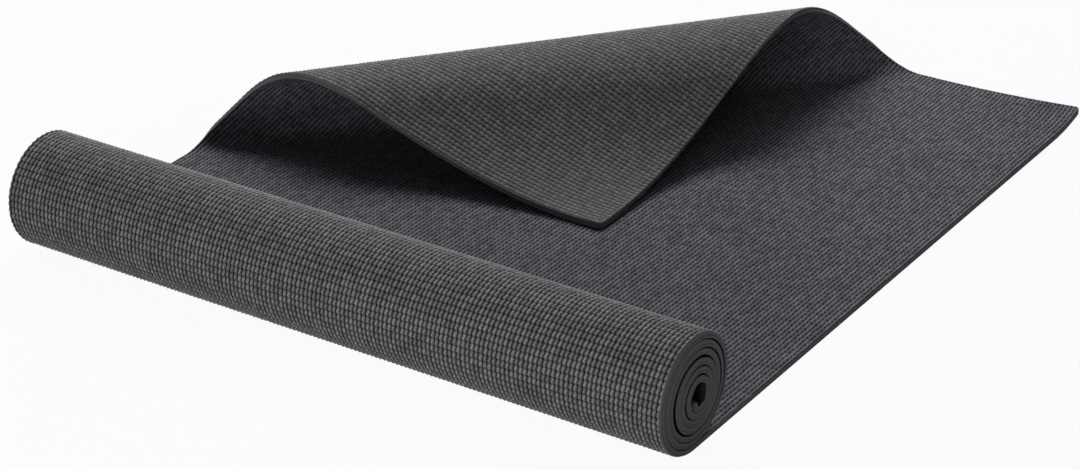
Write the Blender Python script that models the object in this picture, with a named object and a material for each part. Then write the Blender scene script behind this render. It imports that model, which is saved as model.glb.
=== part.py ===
"""Yoga mat, half rolled up, with its far left corner folded over on itself.

The sheet is a laminate of two foam layers on a woven scrim. It is described flat, by x across the
width, y along the length and h through the thickness, and every layer is bent from there: flat on
the floor, wound into the roll, and over the fold. Lengths are in metres, +Z is up, and the origin is
the middle of the mat's footprint, on the floor.
"""

import math
from collections import namedtuple

import bmesh
import bpy
from mathutils import Vector
from mathutils.geometry import intersect_point_line

# Sheet
MAT_WIDTH = 0.610
MAT_LENGTH = 1.730
FOAM_THICKNESS = 0.0023
SCRIM_THICKNESS = 0.0004
SEAM = 0.0003
CORNER_RADIUS = 0.005

# Roll
LYING_LENGTH = 0.646
TURN_GAP = 0.0005
CORE_RADIUS = 0.006
ROLL_BEND_LENGTH = 0.027
STEPS_PER_TURN = 32

# Raised far right corner
CURL_WIDTH = 0.150
CURL_DEPTH = 0.053
CURL_LIFT = 0.007

# Folded corner. Its profile is stated at two mouths, one near each of the mat's edges. A place is
# the mouth's own, along the ridge's direction from the corner. Reach is the sheet's length from the
# corner to where it lifts off the floor. Lift, rise and crest are the lengths that bend up, stand
# and bend over to the ridge, and over is the steep start of the flap.
Mouth = namedtuple("Mouth", "place reach lift rise crest over rise_slope tip_slope")
LEFT_PLACE = -0.300
LEFT_REACH = 0.351
LEFT_LIFT = 0.030
LEFT_RISE = 0.025
LEFT_CREST = 0.048
LEFT_OVER = 0.034
FAR_PLACE = 0.360
FAR_REACH = 0.308
FAR_LIFT = 0.042
FAR_RISE = 0.018
FAR_CREST = 0.079
FAR_OVER = 0.088

# Slopes of the sheet there, from 0 lying flat to 180 degrees turned right over
LEFT_RISE_SLOPE = math.radians(101)
LEFT_TIP_SLOPE = math.radians(173)
FAR_RISE_SLOPE = math.radians(103)
FAR_TIP_SLOPE = math.radians(178)
FOLD_ANGLE = math.radians(42.8)
FLAP_TWIST = math.radians(20)
TIP_CLEARANCE = 0.0004
RIDGE_SLOPE = math.radians(180)
FLAP_SLOPE_LIMITS = (math.radians(182), math.radians(270))

# Mesh density
FOLD_COLUMNS = 10
ARC_ROWS = 8
FLAP_ROWS = 12
RUN_ROW_SHARES = (0.0, 0.35, 0.7, 0.85, 0.92, 0.96, 1.0)
ROUNDING_ANGLES = tuple(math.radians(angle) for angle in (20, 45, 70, 90))
SHARP_ANGLE = math.radians(40)
BISECTIONS = 40
LEAST_TURN = 1e-6

# Worked out from the sizes above
THICKNESS = 2 * FOAM_THICKNESS + SCRIM_THICKNESS + 2 * SEAM
SCRIM_FLOOR = FOAM_THICKNESS + SEAM
TOP_FLOOR = SCRIM_FLOOR + SCRIM_THICKNESS + SEAM
LAYERS = {
    "base_foam": (0.0, FOAM_THICKNESS),
    "scrim": (SCRIM_FLOOR, SCRIM_FLOOR + SCRIM_THICKNESS),
    "top_foam": (TOP_FLOOR, THICKNESS),
}
PITCH = THICKNESS + TURN_GAP
FALL_PER_RADIAN = PITCH / (2 * math.pi)
WOUND_LENGTH = MAT_LENGTH - LYING_LENGTH
LEFT_MOUTH = Mouth(LEFT_PLACE, LEFT_REACH, LEFT_LIFT, LEFT_RISE, LEFT_CREST, LEFT_OVER,
                   LEFT_RISE_SLOPE, LEFT_TIP_SLOPE)
FAR_MOUTH = Mouth(FAR_PLACE, FAR_REACH, FAR_LIFT, FAR_RISE, FAR_CREST, FAR_OVER,
                  FAR_RISE_SLOPE, FAR_TIP_SLOPE)
CORE_MIDDLE = CORE_RADIUS + THICKNESS / 2
ROLL_MIDDLE = math.sqrt(CORE_MIDDLE**2 + 2 * FALL_PER_RADIAN * WOUND_LENGTH)
ROLL_RADIUS = ROLL_MIDDLE + THICKNESS / 2
SPIRAL_TURN = (ROLL_MIDDLE - CORE_MIDDLE) / FALL_PER_RADIAN
LEAD_ANGLE = math.atan(FALL_PER_RADIAN / ROLL_RADIUS)
AXIS_Y = -ROLL_RADIUS * math.sin(LEAD_ANGLE)
AXIS_Z = ROLL_RADIUS * math.cos(LEAD_ANGLE)
ROLL_HINGE_Y = AXIS_Y + ROLL_RADIUS + ROLL_BEND_LENGTH
ROLL_FRONT = AXIS_Y - (ROLL_RADIUS - FALL_PER_RADIAN * (math.pi / 2 + LEAD_ANGLE))
ORIGIN = Vector((MAT_WIDTH / 2, (LYING_LENGTH + ROLL_FRONT) / 2, 0))
CORNER = Vector((0, LYING_LENGTH, 0))
OUTWARD = Vector((-math.sin(FOLD_ANGLE), math.cos(FOLD_ANGLE), 0))
ALONG = Vector((math.cos(FOLD_ANGLE), math.sin(FOLD_ANGLE), 0))
UP = Vector((0, 0, 1))


def clear_scene():
    for existing in list(bpy.data.objects):
        bpy.data.objects.remove(existing, do_unlink=True)


def make_material(name, colour, roughness):
    material = bpy.data.materials.new(name)
    material.use_nodes = True
    shader = material.node_tree.nodes["Principled BSDF"]
    shader.inputs["Base Color"].default_value = (*colour, 1.0)
    shader.inputs["Roughness"].default_value = roughness
    shader.inputs["Metallic"].default_value = 0.0
    return material


# The roll

def spiral_angle(wound):
    """Angle turned through after this much of the sheet's middle has gone into the roll."""
    root = math.sqrt(ROLL_MIDDLE**2 - 2 * FALL_PER_RADIAN * wound)
    return (ROLL_MIDDLE - root) / FALL_PER_RADIAN


def place_in_roll(x, y, h):
    angle = spiral_angle(-y)
    radius = ROLL_RADIUS - FALL_PER_RADIAN * angle - h
    bearing = angle - LEAD_ANGLE
    return Vector((x, AXIS_Y - radius * math.sin(bearing), AXIS_Z - radius * math.cos(bearing)))


def roll_stations():
    """Places along the sheet, from the bend behind the roll to the end inside its core."""
    step = 2 * math.pi / STEPS_PER_TURN
    end = -WOUND_LENGTH
    stations = [ROLL_HINGE_Y - SEAM / 2, 0.0]
    bearing = step
    while bearing + LEAD_ANGLE < SPIRAL_TURN:
        angle = bearing + LEAD_ANGLE
        stations.append(FALL_PER_RADIAN * angle**2 / 2 - ROLL_MIDDLE * angle)
        bearing += step
    stations = [y for y in stations if y > end + CORNER_RADIUS]
    insets = [CORNER_RADIUS * (1 - math.cos(angle)) for angle in ROUNDING_ANGLES]
    return stations + [end + inset for inset in reversed(insets)] + [end]


def least_turn_gap():
    """Least distance from one turn of the roll to the next, measured between their facets."""
    stations = [y for y in roll_stations() if y <= 0]
    inside = [place_in_roll(0, y, THICKNESS) for y in stations]
    outside = [place_in_roll(0, y, 0) for y in stations]
    gaps = []
    for index, point in enumerate(inside):
        start = index + STEPS_PER_TURN // 2
        for first, second in zip(outside[start:], outside[start + 1:]):
            nearest, share = intersect_point_line(point, first, second)
            if 0 <= share <= 1:
                gaps.append((nearest - point).length)
    return min(gaps)


def rounded_inset(distance):
    """How far a rounded corner draws the side in, at this distance from the end it belongs to."""
    if distance >= CORNER_RADIUS:
        return 0.0
    return CORNER_RADIUS - math.sqrt(CORNER_RADIUS**2 - (CORNER_RADIUS - distance) ** 2)


# The fold

def mouth_value(field, along):
    """A profile value, changing evenly along the ridge from one mouth to the other."""
    share = (along - LEFT_MOUTH.place) / (FAR_MOUTH.place - LEFT_MOUTH.place)
    left = getattr(LEFT_MOUTH, field)
    return left + share * (getattr(FAR_MOUTH, field) - left)


def fold_profile(along, flap_slope):
    """Length and final slope of each stretch, from the line where the sheet leaves the floor."""
    lift = mouth_value("lift", along)
    rise = mouth_value("rise", along)
    crest = mouth_value("crest", along)
    over = mouth_value("over", along)
    rest = max(mouth_value("reach", along) - lift - rise - crest - over, over)
    twist = FLAP_TWIST * (along - LEFT_MOUTH.place) / (FAR_MOUTH.place - LEFT_MOUTH.place)
    return [
        (lift, mouth_value("rise_slope", along)),
        (rise, mouth_value("rise_slope", along)),
        (crest, RIDGE_SLOPE),
        (over, flap_slope + twist),
        (rest, mouth_value("tip_slope", along)),
    ]


def follow_profile(profile, travelled):
    """Forward distance, height and slope after this length of the profile."""
    forward = height = slope = 0.0
    for index, (length, end_slope) in enumerate(profile):
        last = index == len(profile) - 1
        step = travelled if last else min(travelled, length)
        turn = (end_slope - slope) * step / length
        if abs(turn) > LEAST_TURN:
            radius = step / turn
            forward += radius * (math.sin(slope + turn) - math.sin(slope))
            height += radius * (math.cos(slope) - math.cos(slope + turn))
        else:
            forward += step * math.cos(slope)
            height += step * math.sin(slope)
        slope += turn
        travelled -= step
        if travelled <= 0:
            break
    return forward, height, slope


def place_in_fold(along, travelled, h, flap_slope):
    """Point at this place along the ridge and this length past the line where the sheet lifts."""
    forward, height, slope = follow_profile(fold_profile(along, flap_slope), travelled)
    reach = mouth_value("reach", along)
    middle = CORNER + ALONG * along + OUTWARD * (forward - reach) + UP * (height + THICKNESS / 2)
    normal = UP * math.cos(slope) - OUTWARD * math.sin(slope)
    return middle + normal * (h - THICKNESS / 2)


def side_limits(inward):
    """Ends of the sheet along the ridge's direction, at this distance in from its corner."""
    left = -inward * math.tan(FOLD_ANGLE)
    right = inward / math.tan(FOLD_ANGLE)
    centre_inward = CORNER_RADIUS * (math.sin(FOLD_ANGLE) + math.cos(FOLD_ANGLE))
    centre_along = CORNER_RADIUS * (math.cos(FOLD_ANGLE) - math.sin(FOLD_ANGLE))
    half_chord = math.sqrt(max(CORNER_RADIUS**2 - (inward - centre_inward) ** 2, 0.0))
    if inward < CORNER_RADIUS * math.cos(FOLD_ANGLE):
        left = centre_along - half_chord
    if inward < CORNER_RADIUS * math.sin(FOLD_ANGLE):
        right = centre_along + half_chord
    return left, right


def row_ends(travel_at):
    """Where a row, given by its travel past the lift line, meets the sheet's two sides."""
    ends = []
    for side, along in enumerate((LEFT_MOUTH.place, FAR_MOUTH.place)):
        for _ in range(BISECTIONS):
            inward = mouth_value("reach", along) - travel_at(along)
            along = side_limits(inward)[side]
        ends.append(along)
    return ends


def to_crest(along):
    return sum(mouth_value(field, along) for field in ("lift", "rise"))


def to_ridge(along):
    return to_crest(along) + mouth_value("crest", along)


def to_flap(along):
    return to_ridge(along) + mouth_value("over", along)


def fold_row(travel_at):
    """Places in one row across the fold, as (place along the ridge, travel past the lift line)."""
    left, right = row_ends(travel_at)
    places = [left + (right - left) * column / FOLD_COLUMNS for column in range(FOLD_COLUMNS + 1)]
    return [(along, travel_at(along)) for along in places]


def stretch_rows(start, end, rows):
    """Rows evenly spaced over one stretch of the profile, without the row it ends on."""
    def travel_at(share):
        return lambda along: start(along) + share * (end(along) - start(along))
    return [fold_row(travel_at(row / rows)) for row in range(rows)]


def bend_rows():
    """Rows from the lift line up the rise to the ridge."""
    rows = stretch_rows(lambda along: SEAM / 2, lambda along: mouth_value("lift", along), ARC_ROWS)
    rows += stretch_rows(lambda along: mouth_value("lift", along), to_crest, 1)
    rows += stretch_rows(to_crest, lambda along: to_ridge(along) - SEAM / 2, ARC_ROWS)
    return rows + [fold_row(lambda along: to_ridge(along) - SEAM / 2)]


def flap_rows():
    """Rows from the ridge down to the rounded corner."""
    first_rounding = CORNER_RADIUS * (math.sin(FOLD_ANGLE) + math.cos(FOLD_ANGLE))

    def rounded_start(along):
        return mouth_value("reach", along) - first_rounding

    rows = stretch_rows(lambda along: to_ridge(along) + SEAM / 2, to_flap, ARC_ROWS)
    rows += stretch_rows(to_flap, rounded_start, FLAP_ROWS)
    for angle in reversed(ROUNDING_ANGLES):
        inward = first_rounding - CORNER_RADIUS * math.cos(angle)
        rows.append(fold_row(lambda along: mouth_value("reach", along) - inward))
    return rows


def solve_flap_slope():
    """Slope of the flap's steepest part at the left mouth, so that it comes down onto the mat."""
    places = [place for row in flap_rows() for place in row]
    gentle, steep = FLAP_SLOPE_LIMITS
    for _ in range(BISECTIONS):
        slope = (gentle + steep) / 2
        lowest = min(place_in_fold(*place, THICKNESS, slope).z for place in places)
        if lowest > THICKNESS + TIP_CLEARANCE:
            gentle = slope
        else:
            steep = slope
    return gentle


# The lying run

def lift_line(share):
    """Point of the line where the sheet leaves the floor, from the left edge to the far edge."""
    left, right = row_ends(lambda along: -SEAM / 2)
    along = left + share * (right - left)
    return CORNER + ALONG * along - OUTWARD * (mouth_value("reach", along) + SEAM / 2)


def corner_lift(x, y):
    """Height of the raised far right corner over the floor."""
    across = (x - (MAT_WIDTH - CURL_WIDTH)) / CURL_WIDTH
    down = (y - (LYING_LENGTH - CURL_DEPTH)) / CURL_DEPTH
    beyond = max(across + down - 1, 0.0)
    return CURL_LIFT * beyond**2


def run_columns():
    """Far end of each lengthwise line of the run, from the left edge to the right edge."""
    ends = [lift_line(column / FOLD_COLUMNS) for column in range(FOLD_COLUMNS + 1)]
    ends = [(point.x, point.y) for point in ends]
    straight_end = MAT_WIDTH - CORNER_RADIUS
    start = ends[-1][0]
    spaces = math.ceil((straight_end - start) / (MAT_WIDTH / (2 * FOLD_COLUMNS)))
    for column in range(1, spaces + 1):
        ends.append((start + (straight_end - start) * column / spaces, LYING_LENGTH))
    for angle in reversed(ROUNDING_ANGLES[:-1]):
        x = straight_end + CORNER_RADIUS * math.cos(angle)
        ends.append((x, LYING_LENGTH - CORNER_RADIUS * (1 - math.sin(angle))))
    ends.append((MAT_WIDTH, LYING_LENGTH - CORNER_RADIUS))
    return ends


# Solids

def layer_solid(name, rows):
    """Closed solid between two matching grids of points: rows of (low point, high point)."""
    mesh = bmesh.new()
    low = [[mesh.verts.new(pair[0]) for pair in row] for row in rows]
    high = [[mesh.verts.new(pair[1]) for pair in row] for row in rows]

    def square(a, b, c, d):
        mesh.faces.new((a, b, c))
        mesh.faces.new((a, c, d))

    last_row = len(rows) - 1
    last_column = len(rows[0]) - 1
    for r in range(last_row):
        for c in range(last_column):
            square(high[r][c], high[r][c + 1], high[r + 1][c + 1], high[r + 1][c])
            mesh.faces.new((low[r][c], low[r + 1][c + 1], low[r][c + 1]))
            mesh.faces.new((low[r][c], low[r + 1][c], low[r + 1][c + 1]))
        square(low[r][0], high[r][0], high[r + 1][0], low[r + 1][0])
        square(high[r][last_column], low[r][last_column], low[r + 1][last_column],
               high[r + 1][last_column])
    for c in range(last_column):
        square(high[0][c], low[0][c], low[0][c + 1], high[0][c + 1])
        square(low[last_row][c], high[last_row][c], high[last_row][c + 1], low[last_row][c + 1])
    bmesh.ops.recalc_face_normals(mesh, faces=mesh.faces)
    data = bpy.data.meshes.new(name)
    mesh.to_mesh(data)
    mesh.free()
    data.shade_smooth()
    data.set_sharp_from_angle(angle=SHARP_ANGLE)
    solid = bpy.data.objects.new(name, data)
    bpy.context.scene.collection.objects.link(solid)
    return solid


def hinge_empty(name, location):
    empty = bpy.data.objects.new(name, None)
    empty.location = location
    bpy.context.scene.collection.objects.link(empty)
    return empty


def make_layers(part, grid, place, materials, pivot):
    """One solid for each layer of the laminate over this part of the sheet."""
    base = pivot.location if pivot else Vector((0, 0, 0))
    for layer, (low, high) in LAYERS.items():
        rows = [
            [tuple(place(*spot, h) - ORIGIN - base for h in (low, high)) for spot in row]
            for row in grid
        ]
        solid = layer_solid(layer + "_" + part, rows)
        solid.data.materials.append(materials[layer])
        solid.parent = pivot


def place_on_floor(x, y, h):
    return Vector((x, y, h + corner_lift(x, y)))


def place_roll(x, y, h):
    return Vector((x, y, h)) if y >= 0 else place_in_roll(x, y, h)


def make_run(materials):
    start = ROLL_HINGE_Y + SEAM / 2
    grid = [
        [(x, start + share * (end - start)) for x, end in run_columns()]
        for share in RUN_ROW_SHARES
    ]
    make_layers("run", grid, place_on_floor, materials, None)


def make_roll(materials):
    pivot = hinge_empty("roll_hinge", Vector((MAT_WIDTH / 2, ROLL_HINGE_Y, THICKNESS)) - ORIGIN)
    grid = []
    for y in roll_stations():
        inset = rounded_inset(y + WOUND_LENGTH)
        grid.append([(inset, y), (MAT_WIDTH - inset, y)])
    make_layers("roll", grid, place_roll, materials, pivot)


def make_fold(materials):
    slope = solve_flap_slope()

    def place(along, travelled, h):
        return place_in_fold(along, travelled, h, slope)

    left, right = row_ends(to_ridge)
    ends = [place(along, to_ridge(along), 0.0) for along in (left, right)]
    pivot = hinge_empty("flap_hinge", (ends[0] + ends[1]) / 2 - ORIGIN)
    make_layers("bend", bend_rows(), place, materials, None)
    make_layers("flap", flap_rows(), place, materials, pivot)
    axis = (ends[1] - ends[0]).normalized()
    print("flap hinge", tuple(round(v, 6) for v in pivot.location), "axis", tuple(axis))
    print("ridge ends", [tuple(end - ORIGIN) for end in ends])


def main():
    clear_scene()
    materials = {
        "base_foam": make_material("base_foam", (0.075, 0.080, 0.078), 0.85),
        "scrim": make_material("scrim", (0.55, 0.55, 0.52), 0.80),
        "top_foam": make_material("top_foam", (0.085, 0.083, 0.092), 0.85),
    }
    make_run(materials)
    make_roll(materials)
    make_fold(materials)
    print("roll radius", ROLL_RADIUS, "turns", SPIRAL_TURN / (2 * math.pi), "origin", tuple(ORIGIN))
    print("roll hinge", tuple(Vector((MAT_WIDTH / 2, ROLL_HINGE_Y, THICKNESS)) - ORIGIN))
    print("least gap between turns", least_turn_gap())


main()
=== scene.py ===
"""Yoga mat, half rolled up, with its far left corner folded over on itself.

The mat is two foam layers pressed onto a woven net, and its looks are built as those two layers,
each in three pieces: the lying run, the folded corner and the roll. A place on the sheet is given
as it is flat: x across the mat, y along it from where the roll leaves the floor, and h up through
its thickness. Lengths are in metres.
"""

import math
from collections import namedtuple

import bpy
from mathutils import Matrix, Vector, noise


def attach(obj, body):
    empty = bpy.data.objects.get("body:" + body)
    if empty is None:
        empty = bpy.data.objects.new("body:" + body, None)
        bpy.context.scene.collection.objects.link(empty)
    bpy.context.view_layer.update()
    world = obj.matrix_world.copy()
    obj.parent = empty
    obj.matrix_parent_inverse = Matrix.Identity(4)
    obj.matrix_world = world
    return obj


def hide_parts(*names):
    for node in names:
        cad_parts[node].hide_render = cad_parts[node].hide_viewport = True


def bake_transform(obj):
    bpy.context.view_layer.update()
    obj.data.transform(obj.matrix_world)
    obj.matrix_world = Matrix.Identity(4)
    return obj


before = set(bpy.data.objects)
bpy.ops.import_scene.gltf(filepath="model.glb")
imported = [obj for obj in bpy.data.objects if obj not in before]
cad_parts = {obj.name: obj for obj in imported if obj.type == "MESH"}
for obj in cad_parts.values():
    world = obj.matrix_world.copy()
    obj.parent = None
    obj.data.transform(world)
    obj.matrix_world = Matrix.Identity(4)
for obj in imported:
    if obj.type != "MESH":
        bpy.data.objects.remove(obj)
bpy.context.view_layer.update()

MM = 0.001

# The sheet, the roll and the fold, with the values of the part's source
MAT_WIDTH = 0.610
MAT_LENGTH = 1.730
FOAM_THICKNESS = 0.0023
SCRIM_THICKNESS = 0.0004
SEAM = 0.0003
CORNER_RADIUS = 0.005
LYING_LENGTH = 0.646
TURN_GAP = 0.0005
CORE_RADIUS = 0.006
CURL_WIDTH = 0.150
CURL_DEPTH = 0.053
CURL_LIFT = 0.007
Mouth = namedtuple("Mouth", "place reach lift rise crest over rise_slope tip_slope")
LEFT_MOUTH = Mouth(-0.300, 0.351, 0.030, 0.025, 0.048, 0.034, math.radians(101), math.radians(173))
FAR_MOUTH = Mouth(0.360, 0.308, 0.042, 0.018, 0.079, 0.088, math.radians(103), math.radians(178))
FOLD_ANGLE = math.radians(42.8)
RIDGE_SLOPE = math.radians(180)
FLAP_TWIST = math.radians(20)
FLAP_SLOPE = math.radians(217.029)

# A stretch of the fold that turns by less than this is taken as straight
LEAST_TURN = 1e-6

THICKNESS = 2 * FOAM_THICKNESS + SCRIM_THICKNESS + 2 * SEAM
FALL_PER_RADIAN = (THICKNESS + TURN_GAP) / (2 * math.pi)
WOUND_LENGTH = MAT_LENGTH - LYING_LENGTH
CORE_MIDDLE = CORE_RADIUS + THICKNESS / 2
ROLL_MIDDLE = math.sqrt(CORE_MIDDLE**2 + 2 * FALL_PER_RADIAN * WOUND_LENGTH)
ROLL_RADIUS = ROLL_MIDDLE + THICKNESS / 2
SPIRAL_TURN = (ROLL_MIDDLE - CORE_MIDDLE) / FALL_PER_RADIAN
LEAD_ANGLE = math.atan(FALL_PER_RADIAN / ROLL_RADIUS)
AXIS_Y = -ROLL_RADIUS * math.sin(LEAD_ANGLE)
AXIS_Z = ROLL_RADIUS * math.cos(LEAD_ANGLE)
ROLL_FRONT = AXIS_Y - (ROLL_RADIUS - FALL_PER_RADIAN * (math.pi / 2 + LEAD_ANGLE))
ORIGIN = Vector((MAT_WIDTH / 2, (LYING_LENGTH + ROLL_FRONT) / 2, 0))
CORNER = Vector((0, LYING_LENGTH, 0))
OUTWARD = Vector((-math.sin(FOLD_ANGLE), math.cos(FOLD_ANGLE), 0))
ALONG = Vector((math.cos(FOLD_ANGLE), math.sin(FOLD_ANGLE), 0))
UP = Vector((0, 0, 1))

# Embossing: rows of long nubs that make ribs along the mat, with a pit between each two nubs side
# by side and a low bridge between their ends. The nubs of the underside lean a little. From
# covered_from on, other turns of the roll cover the face, so that it shows no pattern.
RIB_PITCH = 3.9 * MM
NUB_PITCH = 5.3 * MM
COLUMNS_PER_RIB = 4
ROWS_PER_NUB = 3
COLUMN_STEP = RIB_PITCH / COLUMNS_PER_RIB
ROW_STEP = NUB_PITCH / ROWS_PER_NUB
Embossing = namedtuple("Embossing", "pit bridge notch lean covered_from")
UNDERSIDE = Embossing(1.00 * MM, 0.95 * MM, 0.80 * MM, 0.30 * MM, covered_from=-0.294)
TOP_FACE = Embossing(0.52 * MM, 0.30 * MM, 0.08 * MM, 0.10 * MM, covered_from=-0.030)
COVERED_DEPTH = 0.04 * MM
NUB_UNEVENNESS = 0.14 * MM
NUB_JITTER = 0.18 * MM
RIB_WANDER = 0.6 * MM
WANDER_LENGTH = 45 * MM
ACROSS_DRAW = Vector((0.0, 0.0, 1.0))
ALONG_DRAW = Vector((0.0, 0.0, 2.0))
EMBOSSING_FADE = 2.5 * MM
EDGE_EMBOSSING_SHARE = 0.7

# Pieces: where they meet, and how their meshes are spaced. The run's underside lies on the floor
# and has fewer rows.
NUBS_BEHIND_ROLL = 15.5
RUN_START = NUBS_BEHIND_ROLL * NUB_PITCH
UNSEEN_ROWS = 3
FOLD_SEAM = 6 * MM
LAYER_GAP = 0.01 * MM
EDGE_ROUNDING = 0.6 * MM
EDGE_PROFILE = ((0.3, 0.3), (0.0, 1.0))
LEAST_SPACE = 0.9 * MM
LEAST_TURN_SPACE = LEAST_SPACE / 3
HIDDEN_ROWS = 6
HIDDEN_COLUMNS = 16
HIDDEN_TURN_STEP = math.radians(7.5)
CORNER_ANGLES = tuple(math.radians(angle) for angle in (0, 24, 42, 60, 76))

# How the roll sits in its own space: its core lies back and low and stands a little proud, its
# inmost turns are bent into five sides, and its turns lie tight on each other in some places and
# slack in others. TURN_SLACK is in millimetres over the even gap, a row for each turn from the
# outside in, with its values at the bottom, the front, the top and the back.
CORE_SET_BACK = 9.5 * MM
CORE_SAG = 9 * MM
CORE_PROUD = 0.5 * MM
CORE_SIDES = 5
CORE_BEND = 1.0 * MM
CORE_BEND_REACH = 14 * MM
CORE_BEND_BEARING = math.radians(20)
SETTLING_ANGLE = math.radians(60)
TURN_SLACK = (
    (0.0, -0.4, -0.4, 2.2),
    (0.1, -0.4, -0.2, 2.0),
    (0.5, 2.4, 1.4, -0.1),
    (-0.4, -0.4, 0.5, -0.2),
    (-0.2, 1.2, 0.8, -0.2),
    (-0.3, 0.3, 0.7, 0.0),
    (0.0, 0.0, 0.0, 0.0),
)

# Where the folded corner starts to follow the flap and where it follows it wholly, along the rise
# of the fold
FOLD_BLEND_RISE = 0.5
FOLD_BLEND_START = 0.010
FOLD_BLEND_END = 0.063

# Foam. FACE and CUT are the places of the two finishes on a layer.
FACE = 0
CUT = 1
PVC_IOR = 1.53
CUT_GLOSS = 0.10
CUT_ROUGHNESS = 0.8
CUT_MOTTLE = 0.15
SKIN_ROUGHNESS = (0.50, 0.66)
FOAM_CELL = 0.7 * MM
CELL_DETAIL = 2.0
CELL_RANGE = (0.3, 0.7)
CELL_DEPTH = 0.03 * MM
CLOUD_WIDTH = 35 * MM
CLOUD_DETAIL = 3.0
CLOUD_RANGE = (0.4, 0.6)
CLOUD_SHADE = 0.31
NUB_SHADE = 1.6
# PIT_HALF, RIB_EDGE and NUB_SHOULDER set how far the painted shade of the pits, valleys and notches
# spreads
PIT_HALF = 0.35 * MM
RIB_EDGE = 1.6 * MM
NUB_SHOULDER = 1.45 * MM
SMEAR_WIDTH = 3.0 * MM
SMEAR = 0.9 * MM
# Over this length past covered_from, the face going into the roll is painted over to the pit
# colour: painted shade between the turns
PAINTED_TURN_SHADE_RAMP = 10 * MM

# Studio
FLOOR_WIDTH = 14.0
FLOOR_DROP = -0.3 * MM
FLOOR_WHITE = 0.95
PAPER_ROUGHNESS = 0.9
ROOM_LIGHT = 0.095
SoftBox = namedtuple("SoftBox", "name place aim size watts")
SOFT_BOXES = (
    SoftBox("back_soft_box", (-1.8, 2.5, 0.5), (0, 0, 0), (2.4, 0.7), 18),
    SoftBox("top_soft_box", (-0.95, 1.0, 1.9), (0, 0, 0), (1.6, 1.0), 45),
    SoftBox("front_soft_box", (0.2, -1.5, 0.36), (0.1, -0.3, 0.05), (1.0, 0.4), 10.8),
)
PHOTO_WIDTH = 1080
CAMERA_PLACE = Vector((1.3012, -1.9681, 1.2037))
CAMERA_HEADING = -0.5942
CAMERA_DOWN = 0.4864
CAMERA_ROLL = -0.0142
CAMERA_FOCAL_PIXELS = 3164.2


# The bent sheet

def ease(share):
    """From 0 to 1, starting and ending gently, and flat outside."""
    share = min(max(share, 0.0), 1.0)
    return share * share * (3 - 2 * share)


def spiral_angle(wound):
    """Angle turned through after this much of the sheet's middle has gone into the roll."""
    root = math.sqrt(ROLL_MIDDLE**2 - 2 * FALL_PER_RADIAN * wound)
    return (ROLL_MIDDLE - root) / FALL_PER_RADIAN


def slack_at(angle):
    """How much wider than the even gap the sheet's inner gap is, this far into the roll."""
    quarters = [slack * MM for turn in TURN_SLACK for slack in turn]
    place = min(max(2 * angle / math.pi, 0.0), len(quarters) - 1.001)
    before = int(place)
    return quarters[before] + (quarters[before + 1] - quarters[before]) * ease(place - before)


def place_in_roll(x, y, h):
    angle = spiral_angle(-y)
    bearing = angle - LEAD_ANGLE
    settled = ease(angle / SETTLING_ANGLE)
    h -= settled * slack_at(angle) * h / THICKNESS
    radius = ROLL_RADIUS - FALL_PER_RADIAN * angle - h
    inward = settled * (1 - radius / ROLL_RADIUS)
    bend = max(1 - (radius - CORE_RADIUS) / CORE_BEND_REACH, 0.0) ** 2
    radius += CORE_BEND * bend * math.cos(CORE_SIDES * (bearing - CORE_BEND_BEARING))
    return Vector((
        x + CORE_PROUD * inward,
        AXIS_Y + CORE_SET_BACK * inward - radius * math.sin(bearing),
        AXIS_Z - CORE_SAG * inward - radius * math.cos(bearing),
    ))


def corner_lift(x, y):
    """Height of the raised far right corner over the floor."""
    across = (x - (MAT_WIDTH - CURL_WIDTH)) / CURL_WIDTH
    down = (y - (LYING_LENGTH - CURL_DEPTH)) / CURL_DEPTH
    return CURL_LIFT * max(across + down - 1, 0.0) ** 2


def mouth_value(field, along):
    """A profile value, changing evenly along the ridge from one mouth to the other."""
    share = (along - LEFT_MOUTH.place) / (FAR_MOUTH.place - LEFT_MOUTH.place)
    left = getattr(LEFT_MOUTH, field)
    return left + share * (getattr(FAR_MOUTH, field) - left)


def fold_profile(along):
    """Length and final slope of each stretch, from the line where the sheet leaves the floor."""
    lift = mouth_value("lift", along)
    rise = mouth_value("rise", along)
    crest = mouth_value("crest", along)
    over = mouth_value("over", along)
    rest = max(mouth_value("reach", along) - lift - rise - crest - over, over)
    twist = FLAP_TWIST * (along - LEFT_MOUTH.place) / (FAR_MOUTH.place - LEFT_MOUTH.place)
    rise_slope = mouth_value("rise_slope", along)
    return [
        (lift, rise_slope),
        (rise, rise_slope),
        (crest, RIDGE_SLOPE),
        (over, FLAP_SLOPE + twist),
        (rest, mouth_value("tip_slope", along)),
    ]


def follow_profile(profile, travelled):
    """Forward distance, height and slope after this length of the profile."""
    forward = height = slope = 0.0
    for index, (length, end_slope) in enumerate(profile):
        last = index == len(profile) - 1
        step = travelled if last else min(travelled, length)
        turn = (end_slope - slope) * step / length
        if abs(turn) > LEAST_TURN:
            radius = step / turn
            forward += radius * (math.sin(slope + turn) - math.sin(slope))
            height += radius * (math.cos(slope) - math.cos(slope + turn))
        else:
            forward += step * math.cos(slope)
            height += step * math.sin(slope)
        slope += turn
        travelled -= step
        if travelled <= 0:
            break
    return forward, height, slope


def fold_travel(x, y):
    """Place along the ridge, and length past the line where the sheet leaves the floor."""
    from_corner = Vector((x, y, 0)) - CORNER
    along = from_corner.dot(ALONG)
    return along, mouth_value("reach", along) + from_corner.dot(OUTWARD)


def place_lying(x, y, h):
    return Vector((x, y, h + corner_lift(x, y)))


def place_folded(x, y, h):
    along, travelled = fold_travel(x, y)
    if travelled <= 0:
        return Vector((x, y, h))
    forward, height, slope = follow_profile(fold_profile(along), travelled)
    reach = mouth_value("reach", along)
    middle = CORNER + ALONG * along + OUTWARD * (forward - reach) + UP * (height + THICKNESS / 2)
    normal = UP * math.cos(slope) - OUTWARD * math.sin(slope)
    return middle + normal * (h - THICKNESS / 2)


def place_wound(x, y, h):
    return Vector((x, y, h)) if y >= 0 else place_in_roll(x, y, h)


# Embossed faces

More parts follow.
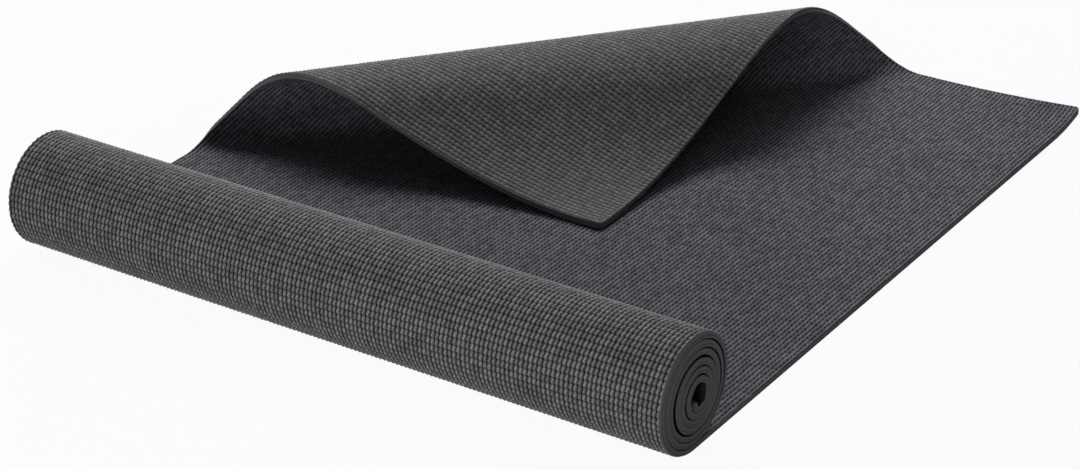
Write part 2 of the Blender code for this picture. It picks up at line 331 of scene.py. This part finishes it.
def nearest_line(value, pitch):
    """Distance from the nearest whole multiple of the pitch."""
    return abs(value - pitch * round(value / pitch))


def from_cut_edge(x, y):
    """0 at a cut edge of the sheet, and 1 from a little way in."""
    inside = min(x, MAT_WIDTH - x, LYING_LENGTH - y, y + WOUND_LENGTH)
    return ease(inside / EMBOSSING_FADE)


def nub_number(x, y):
    """Which nub a place belongs to, counted across and along."""
    return Vector((round(x / RIB_PITCH), math.floor(y / NUB_PITCH), 0.0))


def embossed_depth(face, x, y):
    """Depth of the pattern under the tops of the nubs, and an even one where turns cover it."""
    if y < face.covered_from:
        return COVERED_DEPTH
    valley = 0.5 - 0.5 * math.cos(2 * math.pi * x / RIB_PITCH)
    beside = min(nearest_line(y, NUB_PITCH) / ROW_STEP, 1.0)
    bottom = face.bridge + (face.pit - face.bridge) * beside
    top = face.notch * (1 - beside) + NUB_UNEVENNESS * noise.cell(nub_number(x, y))
    depth = valley * bottom + (1 - valley) * top
    share = EDGE_EMBOSSING_SHARE + (1 - EDGE_EMBOSSING_SHARE) * from_cut_edge(x, y)
    return depth * share


def pressed_place(face, x, y):
    """Where a place of the even pattern lies on the face, as the ribs wander and the nubs lean."""
    loose = from_cut_edge(x, y)
    row = round(y / ROW_STEP) % ROWS_PER_NUB
    lean = (0.0, face.lean, -face.lean)[row]
    wander = noise.noise(Vector((x / WANDER_LENGTH, y / WANDER_LENGTH, face.pit / MM)))
    number = nub_number(x, y)
    jitter = noise.cell(number + ACROSS_DRAW) - 0.5
    across = lean + RIB_WANDER * wander + NUB_JITTER * jitter
    along = NUB_JITTER * (noise.cell(number + ALONG_DRAW) - 0.5)
    return x + loose * across, y + loose * along


# Lines of places across a piece. Each place has the station by which neighbouring lines are joined,
# its flat coordinates, the way out of the sheet where it is on a cut edge, and whether the hidden
# face inside the laminate has it too.
Spot = namedtuple("Spot", "station x y out kept")
INSIDE = (0.0, 0.0)


def spaced(step, low, high):
    """Whole steps between two ends, away from the ends, as (number, distance)."""
    first = math.ceil((low + LEAST_SPACE) / step)
    last = math.floor((high - LEAST_SPACE) / step)
    return [(number, number * step) for number in range(first, last + 1)]


def corner_inset(distance):
    """How far a rounded corner draws an edge in, at this distance from the side beside it."""
    if distance >= CORNER_RADIUS:
        return 0.0
    return CORNER_RADIUS - math.sqrt(CORNER_RADIUS**2 - (CORNER_RADIUS - distance) ** 2)


def way_out(x, y):
    """Direction out of the sheet from a place on one of its cut edges."""
    across = min(x, MAT_WIDTH - x)
    down = min(LYING_LENGTH - y, y + WOUND_LENGTH)
    side = -1.0 if x < MAT_WIDTH / 2 else 1.0
    end = 1.0 if y > 0 else -1.0
    if across < CORNER_RADIUS and down < CORNER_RADIUS:
        out = Vector((side * (CORNER_RADIUS - across), end * (CORNER_RADIUS - down)))
        return tuple(out.normalized())
    return (side, 0.0) if across < down else (0.0, end)


def seam_end(x):
    """Where the lying run meets the folded corner, on the line at this distance across."""
    low, high = RUN_START, LYING_LENGTH
    while high - low > LAYER_GAP:
        middle = (low + high) / 2
        if fold_travel(x, middle)[1] < -FOLD_SEAM:
            low = middle
        else:
            high = middle
    return low


def seam_apex():
    """Distance across at which the seam meets the far edge."""
    low, high = 0.0, MAT_WIDTH
    while high - low > LAYER_GAP:
        middle = (low + high) / 2
        if fold_travel(middle, LYING_LENGTH)[1] < -FOLD_SEAM:
            high = middle
        else:
            low = middle
    return low


def lengthwise(x, low, high, low_cut, high_cut, edge, every):
    """One line along the mat at this distance across, from low to high."""
    rows = [(low, True, low_cut)]
    rows += [(y, number % HIDDEN_ROWS == 0, edge)
             for number, y in spaced(ROW_STEP, low, high) if number % every == 0]
    rows.append((high, True, high_cut))
    return [Spot(y, x, y, way_out(x, y) if cut else INSIDE, kept) for y, kept, cut in rows]


def lengthwise_places(apex):
    """Distances across for the lines along the mat, with extra ones where an edge turns."""
    insets = [CORNER_RADIUS * (1 - math.cos(angle)) for angle in CORNER_ANGLES]
    turns = {apex - LEAST_SPACE, apex, *insets, *(MAT_WIDTH - inset for inset in insets)}
    places = [x for _, x in spaced(COLUMN_STEP, 0, MAT_WIDTH)]
    places = [x for x in places if all(abs(x - turn) > LEAST_TURN_SPACE for turn in turns)]
    return sorted({*places, *turns})


def run_lines(every=1):
    """Lines of the lying run, ending at the folded corner's seam or at the far edge."""
    apex = seam_apex()
    lines = []
    for x in lengthwise_places(apex):
        edge = x in (0.0, MAT_WIDTH)
        folded = x < apex
        far = seam_end(x) if folded else LYING_LENGTH - corner_inset(MAT_WIDTH - x)
        lines.append(lengthwise(x, RUN_START, far, edge, edge or not folded, edge, every))
    return lines


def fold_lines():
    """Lines of the folded corner, from its seam to the far edge."""
    apex = seam_apex()
    lines = []
    for x in lengthwise_places(apex):
        if x >= apex:
            break
        edge = x == 0.0
        far = LYING_LENGTH - corner_inset(x)
        lines.append(lengthwise(x, seam_end(x), far, edge, True, edge, 1))
    lines.append([Spot(LYING_LENGTH, apex, LYING_LENGTH, way_out(apex, LYING_LENGTH), True)])
    return lines


def widthwise(y, inset=0.0, hidden=False, cut=False):
    """One line across the mat at this distance along it."""
    left, right = inset, MAT_WIDTH - inset
    places = [(left, True, True)]
    for number, x in spaced(COLUMN_STEP, left, right):
        kept = number % HIDDEN_COLUMNS == 0
        if kept or not hidden:
            places.append((x, kept, cut))
    places.append((right, True, True))
    return [Spot(x, x, y, way_out(x, y) if edge else INSIDE, kept) for x, kept, edge in places]


def roll_lines(shown_end):
    """Lines across the roll, close together where its face shows and wider apart inside it."""
    lines = [widthwise(RUN_START)]
    for _, y in reversed(spaced(ROW_STEP, shown_end, RUN_START)):
        lines.append(widthwise(y))
    end = -WOUND_LENGTH
    angle = spiral_angle(-shown_end)
    while True:
        angle += HIDDEN_TURN_STEP
        y = FALL_PER_RADIAN * angle**2 / 2 - ROLL_MIDDLE * angle
        if y < end + CORNER_RADIUS or angle > SPIRAL_TURN:
            break
        lines.append(widthwise(y, hidden=True))
    for angle in CORNER_ANGLES[1:]:
        from_end = CORNER_RADIUS * (1 - math.sin(angle))
        lines.append(widthwise(end + from_end, corner_inset(from_end), hidden=True))
    lines.append(widthwise(end, CORNER_RADIUS, hidden=True, cut=True))
    return lines


# Foam layers

def zip_lines(one, other):
    """Polygons between two neighbouring lines of (station, vertex)."""
    shared = {station for station, vertex in one} & {station for station, vertex in other}
    cuts = []
    for line in (one, other):
        marks = [index for index, (station, vertex) in enumerate(line) if station in shared]
        cuts.append([0, *marks, len(line) - 1])
    polygons = []
    for a, b, c, d in zip(cuts[0], cuts[0][1:], cuts[1], cuts[1][1:]):
        polygon = [vertex for station, vertex in one[a:b + 1]]
        polygon += [vertex for station, vertex in reversed(other[c:d + 1])]
        if len(polygon) > 2:
            polygons.append(polygon)
    return polygons


def outline_spots(lines):
    """The piece's outline in order, as (line, place in it), from the first line round to it."""
    last = len(lines) - 1
    loop = [(0, spot) for spot in range(len(lines[0]))]
    loop += [(line, len(lines[line]) - 1) for line in range(1, last)]
    loop += [(last, spot) for spot in reversed(range(len(lines[last])))]
    loop += [(line, 0) for line in reversed(range(1, last))]
    return loop


def foam_layer(name, lines, place, face, finishes):
    """One foam layer of a piece: its embossed face, its cut edges and its side at the net."""
    top = face is TOP_FACE
    outer_h = THICKNESS if top else 0.0
    inward = -1.0 if top else 1.0
    depth_to_net = THICKNESS / 2 - LAYER_GAP
    inner_h = outer_h + inward * depth_to_net
    vertices, flat, polygons, finish_of = [], [], [], []

    def add_vertex(x, y, h):
        vertices.append(place(x, y, h) - ORIGIN)
        flat.append((x, y, h))
        return len(vertices) - 1

    def add_face_vertex(spot, inset, depth):
        pressed = embossed_depth(face, spot.x, spot.y)
        if spot.out == INSIDE:
            x, y = pressed_place(face, spot.x, spot.y)
            depth = max(depth, pressed)
        else:
            x = spot.x - spot.out[0] * inset
            y = spot.y - spot.out[1] * inset
            depth = min(depth + pressed, depth_to_net)
        flat.append((spot.x, spot.y, outer_h + inward * depth))
        vertices.append(place(x, y, flat[-1][2]) - ORIGIN)
        return len(vertices) - 1

    shown = [[(spot.station, add_face_vertex(spot, EDGE_ROUNDING, 0.0)) for spot in line]
             for line in lines]
    for one, other in zip(shown, shown[1:]):
        polygons += zip_lines(one, other)
    finish_of += [FACE] * len(polygons)
    smooth = [True] * len(polygons)

    loop = outline_spots(lines)
    ring = [shown[line][index][1] for line, index in loop]
    profile = [(inset * EDGE_ROUNDING, depth * EDGE_ROUNDING) for inset, depth in EDGE_PROFILE]
    for inset, depth in [*profile, (0.0, depth_to_net)]:
        below = [add_face_vertex(lines[line][index], inset, depth) for line, index in loop]
        for a in range(len(loop)):
            b = (a + 1) % len(loop)
            polygons.append([ring[b], ring[a], below[a], below[b]])
            spots = [lines[line][index] for line, index in (loop[a], loop[b])]
            smooth.append(all(spot.out != INSIDE for spot in spots))
        ring = below
    finish_of += [CUT] * (len(polygons) - len(finish_of))

    edge_vertex = dict(zip(loop, ring))
    hidden = []
    for number, line in enumerate(lines):
        row = []
        for index, spot in enumerate(line):
            if (number, index) in edge_vertex:
                row.append((spot.station, edge_vertex[number, index]))
            elif spot.kept:
                row.append((spot.station, add_vertex(spot.x, spot.y, inner_h)))
        hidden.append(row)
    for one, other in zip(hidden, hidden[1:]):
        polygons += [polygon[::-1] for polygon in zip_lines(one, other)]
    finish_of += [CUT] * (len(polygons) - len(finish_of))

    smooth += [False] * (len(polygons) - len(smooth))

    if top:
        polygons = [polygon[::-1] for polygon in polygons]
    return add_layer(name, vertices, flat, polygons, smooth, finish_of, finishes)


def add_layer(name, vertices, flat, polygons, smooth, finish_of, finishes):
    """Puts a layer's mesh in the scene, with each vertex's place on the flat sheet beside it."""
    mesh = bpy.data.meshes.new(name)
    mesh.from_pydata(vertices, [], polygons)
    for finish in finishes:
        mesh.materials.append(finish)
    mesh.polygons.foreach_set("material_index", finish_of)
    attribute = mesh.attributes.new("flat", "FLOAT_VECTOR", "POINT")
    attribute.data.foreach_set("vector", [value for spot in flat for value in spot])
    mesh.polygons.foreach_set("use_smooth", smooth)
    mesh.update()
    layer = bpy.data.objects.new(name, mesh)
    bpy.context.scene.collection.objects.link(layer)
    return layer


# Finishes

def linear(hex_colour):
    """A colour written as sRGB hex, as the linear values that shaders take."""
    channels = [int(hex_colour[place:place + 2], 16) / 255 for place in (1, 3, 5)]
    opened = [c / 12.92 if c <= 0.04045 else ((c + 0.055) / 1.055) ** 2.4 for c in channels]
    return (*opened, 1.0)


def add_node(tree, kind, inputs=(), **settings):
    """Adds a node with its settings, and each input's value or the socket that feeds it."""
    made = tree.nodes.new(kind)
    for name, value in settings.items():
        setattr(made, name, value)
    for socket, value in dict(inputs).items():
        if isinstance(value, bpy.types.NodeSocket):
            tree.links.new(value, made.inputs[socket])
        else:
            made.inputs[socket].default_value = value
    return made


def new_material(name):
    """An empty material, its node tree and its shader."""
    material = bpy.data.materials.new(name)
    material.use_nodes = True
    return material, material.node_tree, material.node_tree.nodes["Principled BSDF"]


def embossed_foam(name, crest, pit, gloss, notch_shade, valley_shade, bridge_shade, covered_from):
    """PVC foam pressed hot against a netted roller: a matte skin on the nubs, with painted shade in
    the pits and hollows between them.

    The skin has a slight sheen where the roller ironed it, and the pits between the nubs have none:
    partly the open cells, partly standing in for shade there.
    Inside the roll, where turn lies on turn, the whole face is painted as dark as the pits and
    loses its sheen: painted shade between the turns.
    """
    material, tree, shader = new_material(name)
    flat = add_node(tree, "ShaderNodeAttribute", attribute_name="flat").outputs["Vector"]
    smear = add_node(tree, "ShaderNodeTexNoise", {"Vector": flat, "Scale": 1 / SMEAR_WIDTH})
    centred = add_node(tree, "ShaderNodeVectorMath", {
        0: smear.outputs["Color"], 1: (0.5, 0.5, 0.5)}, operation="SUBTRACT")
    smeared = add_node(tree, "ShaderNodeVectorMath", {
        0: centred.outputs[0], 1: (SMEAR, SMEAR, SMEAR), 2: flat}, operation="MULTIPLY_ADD")
    axes = add_node(tree, "ShaderNodeSeparateXYZ", {"Vector": smeared.outputs[0]})
    across = add_node(tree, "ShaderNodeMath", {0: axes.outputs["X"], 1: RIB_PITCH / 2},
                      operation="PINGPONG")
    along = add_node(tree, "ShaderNodeMath", {0: axes.outputs["Y"], 1: NUB_PITCH / 2},
                     operation="PINGPONG")
    # Painted shade: the valleys between ribs, the notches between nub ends and the pits go dark
    # towards the pit colour, over the real relief
    valley = add_node(tree, "ShaderNodeMapRange", {
        "Value": across.outputs[0], "From Min": RIB_PITCH / 2 - RIB_EDGE,
        "From Max": RIB_PITCH / 2 - PIT_HALF}, interpolation_type="SMOOTHSTEP")
    end = add_node(tree, "ShaderNodeMapRange", {
        "Value": along.outputs[0], "From Min": 0.0, "From Max": NUB_SHOULDER,
        "To Min": 1.0, "To Max": 0.0}, interpolation_type="SMOOTHSTEP")
    notch = add_node(tree, "ShaderNodeMath", {0: end.outputs[0], 1: notch_shade},
                     operation="MULTIPLY")
    bottom = add_node(tree, "ShaderNodeMath", {
        0: end.outputs[0], 1: bridge_shade - valley_shade, 2: valley_shade},
                      operation="MULTIPLY_ADD")
    gap = add_node(tree, "ShaderNodeMath", {0: valley.outputs[0], 1: bottom.outputs[0]},
                   operation="MULTIPLY")
    pattern = add_node(tree, "ShaderNodeMath", {0: gap.outputs[0], 1: notch.outputs[0]},
                       operation="MAXIMUM")
    # Painted shade between the turns: from covered_from on into the roll, the whole face goes to
    # the pit colour
    painted_turn_shade = add_node(tree, "ShaderNodeMapRange", {
        "Value": axes.outputs["Y"], "From Min": covered_from - PAINTED_TURN_SHADE_RAMP, "From Max": covered_from,
        "To Min": 1.0, "To Max": 0.0})
    depth = add_node(tree, "ShaderNodeMath", {0: pattern.outputs[0], 1: painted_turn_shade.outputs[0]},
                     operation="MAXIMUM")
    # Specular level falls with the painted shade: partly the open cells in the hollows, partly
    # standing in for shade in them and between the turns
    sheen = add_node(tree, "ShaderNodeMath", {
        0: depth.outputs[0], 1: -gloss, 2: gloss}, operation="MULTIPLY_ADD")
    shader.inputs["Specular IOR Level"].default_value = gloss
    tree.links.new(sheen.outputs[0], shader.inputs["Specular IOR Level"])
    # The crest colour, darkened towards the pit colour by the painted shade
    pressed = add_node(tree, "ShaderNodeMix", {
        "Factor": depth.outputs[0], "A": linear(crest), "B": linear(pit)}, data_type="RGBA")
    beside = add_node(tree, "ShaderNodeVectorMath", {0: flat, 1: (RIB_PITCH / 2, 0.0, 0.0)})
    nub = add_node(tree, "ShaderNodeVectorMath", {
        0: beside.outputs[0], 1: (RIB_PITCH, NUB_PITCH, 1.0)}, operation="SNAP")
    own = add_node(tree, "ShaderNodeTexWhiteNoise", {"Vector": nub.outputs[0]})
    cloud = add_node(tree, "ShaderNodeTexNoise", {
        "Vector": flat, "Scale": 1 / CLOUD_WIDTH, "Detail": CLOUD_DETAIL})
    mottle = add_node(tree, "ShaderNodeMath", {
        0: own.outputs["Value"], 1: NUB_SHADE, 2: cloud.outputs["Fac"]}, operation="MULTIPLY_ADD")
    shade = add_node(tree, "ShaderNodeMapRange", {
        "Value": mottle.outputs[0],
        "From Min": CLOUD_RANGE[0], "From Max": CLOUD_RANGE[1] + NUB_SHADE,
        "To Min": 1 - CLOUD_SHADE, "To Max": 1 + CLOUD_SHADE})
    clouded = add_node(tree, "ShaderNodeVectorMath", {
        0: pressed.outputs["Result"], "Scale": shade.outputs[0]}, operation="SCALE")
    tree.links.new(clouded.outputs[0], shader.inputs["Base Color"])
    grain = add_node(tree, "ShaderNodeTexNoise", {
        "Vector": flat, "Scale": 1 / FOAM_CELL, "Detail": CELL_DETAIL})
    bump = add_node(tree, "ShaderNodeBump", {
        "Height": grain.outputs["Fac"], "Strength": 1.0, "Distance": CELL_DEPTH})
    tree.links.new(bump.outputs[0], shader.inputs["Normal"])
    rough = add_node(tree, "ShaderNodeMapRange", {
        "Value": grain.outputs["Fac"], "From Min": CELL_RANGE[0], "From Max": CELL_RANGE[1],
        "To Min": SKIN_ROUGHNESS[0], "To Max": SKIN_ROUGHNESS[1]})
    tree.links.new(rough.outputs[0], shader.inputs["Roughness"])
    shader.inputs["IOR"].default_value = PVC_IOR
    return material


def cut_foam(name, colour):
    """The same foam cut by a blade: open cells, matte and without the faces' pattern."""
    material, tree, shader = new_material(name)
    flat = add_node(tree, "ShaderNodeAttribute", attribute_name="flat").outputs["Vector"]
    cells = add_node(tree, "ShaderNodeTexNoise", {
        "Vector": flat, "Scale": 1 / FOAM_CELL, "Detail": CELL_DETAIL})
    shade = add_node(tree, "ShaderNodeMapRange", {
        "Value": cells.outputs["Fac"], "From Min": CELL_RANGE[0], "From Max": CELL_RANGE[1],
        "To Min": 1 - CUT_MOTTLE, "To Max": 1 + CUT_MOTTLE})
    mottled = add_node(tree, "ShaderNodeVectorMath", {
        0: linear(colour)[:3], "Scale": shade.outputs[0]}, operation="SCALE")
    tree.links.new(mottled.outputs[0], shader.inputs["Base Color"])
    bump = add_node(tree, "ShaderNodeBump", {
        "Height": cells.outputs["Fac"], "Strength": 1.0, "Distance": CELL_DEPTH})
    tree.links.new(bump.outputs[0], shader.inputs["Normal"])
    shader.inputs["Roughness"].default_value = CUT_ROUGHNESS
    shader.inputs["IOR"].default_value = PVC_IOR
    shader.inputs["Specular IOR Level"].default_value = CUT_GLOSS
    return material


def seen_directly(tree):
    """1 for what the camera sees, straight or in a gloss or through a clear thing, and else 0."""
    path = add_node(tree, "ShaderNodeLightPath")
    seen = add_node(tree, "ShaderNodeMath", {
        0: path.outputs["Is Camera Ray"], 1: path.outputs["Is Glossy Ray"]}, operation="MAXIMUM")
    seen = add_node(tree, "ShaderNodeMath", {
        0: seen.outputs[0], 1: path.outputs["Is Transmission Ray"]}, operation="MAXIMUM")
    return seen.outputs[0]


def studio_floor():
    """A matte white paper floor, shown near white to the camera but for the mat's own shadow."""
    material, tree, shader = new_material("matte_white_paper")
    shader.inputs["Base Color"].default_value = linear("#C8C8C8")
    shader.inputs["Roughness"].default_value = PAPER_ROUGHNESS
    share = add_node(tree, "ShaderNodeMath", {0: seen_directly(tree), 1: FLOOR_WHITE},
                     operation="MULTIPLY")
    white = add_node(tree, "ShaderNodeEmission", {"Color": linear("#FFFFFF"), "Strength": 1.0})
    mixed = add_node(tree, "ShaderNodeMixShader", {
        0: share.outputs[0], 1: shader.outputs[0], 2: white.outputs[0]})
    tree.links.new(mixed.outputs[0], tree.nodes["Material Output"].inputs["Surface"])
    mesh = bpy.data.meshes.new("studio_floor")
    half = FLOOR_WIDTH / 2
    mesh.from_pydata([(-half, -half, FLOOR_DROP), (half, -half, FLOOR_DROP),
                      (half, half, FLOOR_DROP), (-half, half, FLOOR_DROP)], [], [(0, 1, 2, 3)])
    mesh.materials.append(material)
    floor = bpy.data.objects.new("studio_floor", mesh)
    bpy.context.scene.collection.objects.link(floor)
    return floor


# Light and camera

def white_world():
    """Soft white light from all round, and a plain white background."""
    world = bpy.data.worlds.new("white_studio")
    world.use_nodes = True
    tree = world.node_tree
    strength = add_node(tree, "ShaderNodeMapRange", {
        "Value": seen_directly(tree), "To Min": ROOM_LIGHT, "To Max": 1.0})
    tree.links.new(strength.outputs[0], tree.nodes["Background"].inputs["Strength"])
    tree.nodes["Background"].inputs["Color"].default_value = linear("#FFFFFF")
    bpy.context.scene.world = world


def hang_soft_box(box):
    """A soft box, turned so that it shines from its place at what it aims at."""
    light = bpy.data.lights.new(box.name, "AREA")
    light.shape = "RECTANGLE"
    light.size, light.size_y = box.size
    light.energy = box.watts
    lamp = bpy.data.objects.new(box.name, light)
    lamp.location = box.place
    lamp.rotation_euler = (Vector(box.aim) - Vector(box.place)).to_track_quat("-Z", "Y").to_euler()
    bpy.context.scene.collection.objects.link(lamp)


def photo_camera():
    """The camera's place, heading and focal length, solved from the mat's straight edges."""
    heading, down, roll = CAMERA_HEADING, CAMERA_DOWN, CAMERA_ROLL
    forward = Vector((math.sin(heading) * math.cos(down), math.cos(heading) * math.cos(down),
                      -math.sin(down)))
    level = Vector((math.cos(heading), -math.sin(heading), 0))
    above = level.cross(forward)
    right = math.cos(roll) * level + math.sin(roll) * above
    above = right.cross(forward)
    camera = bpy.data.objects.new("photo_camera", bpy.data.cameras.new("photo_camera"))
    camera.data.sensor_fit = "HORIZONTAL"
    camera.data.lens = CAMERA_FOCAL_PIXELS / PHOTO_WIDTH * camera.data.sensor_width
    camera.matrix_world = Matrix.Translation(CAMERA_PLACE) @ Matrix(
        (right, above, -forward)).transposed().to_4x4()
    bpy.context.scene.collection.objects.link(camera)
    bpy.context.scene.camera = camera


# The mat

def make_mat():
    # The pit colours are painted shade in the hollows of the embossing. notch_shade, valley_shade
    # and bridge_shade say how far each hollow is painted towards them. The crest colours are the
    # foam's own.
    underside = embossed_foam(
        "embossed_pvc_foam_underside", crest="#6B6D6C", pit="#080808", gloss=0.25,
        notch_shade=0.66, valley_shade=0.82, bridge_shade=1.0, covered_from=UNDERSIDE.covered_from)
    top_face = embossed_foam(
        "embossed_pvc_foam_top", crest="#6A6B72", pit="#333338", gloss=0.05,
        notch_shade=0.15, valley_shade=1.0, bridge_shade=0.55, covered_from=TOP_FACE.covered_from)
    # The folded corner's underside looks softer in the photograph. Nothing shows that it was
    # pressed differently, so this is a copy of the underside fitted to its tones: darker crests and
    # lighter painted shade in its pits. It meets the run's underside on the floor.
    corner_toned_underside = embossed_foam(
        "embossed_pvc_foam_underside_corner_toned", crest="#5C5E5E", pit="#191A1A", gloss=0.22,
        notch_shade=0.40, valley_shade=0.66, bridge_shade=0.85, covered_from=UNDERSIDE.covered_from)
    cut = cut_foam("cut_pvc_foam", "#5B5E5D")
    folded = fold_lines()
    apex = folded[-1][0].x
    seam_at_edge = folded[0][0].y
    parts = [
        ("run", place_lying, run_lines(every=UNSEEN_ROWS), run_lines(), "laid",
         (MAT_WIDTH, LYING_LENGTH - RUN_START)),
        ("corner", place_folded, folded, folded, "folded",
         (apex, LYING_LENGTH - seam_at_edge)),
        ("roll", place_wound, roll_lines(UNDERSIDE.covered_from),
         roll_lines(TOP_FACE.covered_from), "folded",
         (MAT_WIDTH, RUN_START + WOUND_LENGTH)),
    ]
    nodes = {"run": ("run",), "corner": ("bend", "flap"), "roll": ("roll",)}
    for part, place, base_lines, top_lines, held, flat in parts:
        pressed = corner_toned_underside if part == "corner" else underside
        base = foam_layer("base_sheet_" + part, base_lines, place, UNDERSIDE, (pressed, cut))
        top = foam_layer("top_sheet_" + part, top_lines, place, TOP_FACE, (top_face, cut))
        for layer in (base, top):
            if part == "run":
                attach(layer, "lying_sheet")
            elif part == "roll":
                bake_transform(layer)
            else:
                fold_blend()
                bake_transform(layer)
        for node in nodes[part]:
            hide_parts("base_foam_" + node, "scrim_" + node)
            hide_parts("top_foam_" + node)


def fold_blend():
    """Where the folded corner starts to follow the flap, and where it follows it wholly."""
    skew = (FAR_MOUTH.reach - LEFT_MOUTH.reach) / (FAR_MOUTH.place - LEFT_MOUTH.place)
    direction = UP * FOLD_BLEND_RISE - (OUTWARD + ALONG * skew)
    lift_middle = CORNER - ORIGIN - OUTWARD * mouth_value("reach", 0.0)
    start = lift_middle + direction * (FOLD_BLEND_START / direction.length_squared)
    end = lift_middle + direction * (FOLD_BLEND_END / direction.length_squared)
    return start, end


make_mat()
studio_floor()
white_world()
for soft_box in SOFT_BOXES:
    hang_soft_box(soft_box)
photo_camera()
bpy.context.scene.view_settings.view_transform = "Standard"
